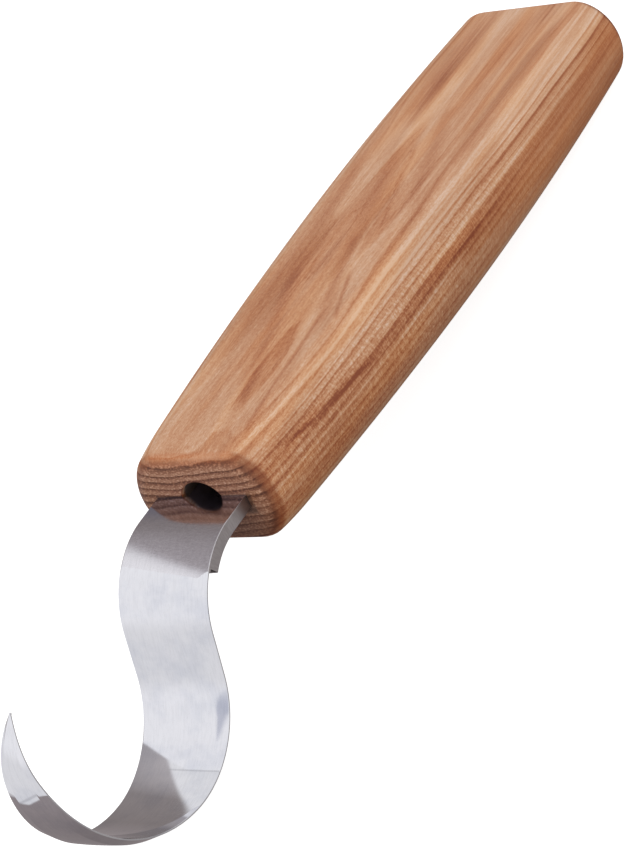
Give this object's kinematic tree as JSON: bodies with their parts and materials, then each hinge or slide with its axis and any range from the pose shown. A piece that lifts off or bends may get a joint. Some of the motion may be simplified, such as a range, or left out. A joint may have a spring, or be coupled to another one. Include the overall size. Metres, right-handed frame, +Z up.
{
  "type": "hook knife",
  "caption": "Woodcarving hook knife: a bent double-edged steel strip curled into an open hook, its tang glued into a flat, belly-shaped ash handle with rounded sides.",
  "frame": {"origin": "on the table, under the middle of the knife's length, width and height box", "axes": "+X along the knife's length towards the hook, +Y across the blade's width, +Z up from the table. The knife stands hook down on the bottom of the hook and the lower rim of the butt"},
  "size_m": [0.165, 0.0308, 0.0328],
  "materials": {
    "ash": "oiled, satin",
    "blade_steel": "fine polish",
    "epoxy": "cured, glossy"
  },
  "bodies": {
    "root": {"handle": "ash", "blade": "blade_steel", "tang_adhesive": "epoxy"}
  },
  "joints": []
}
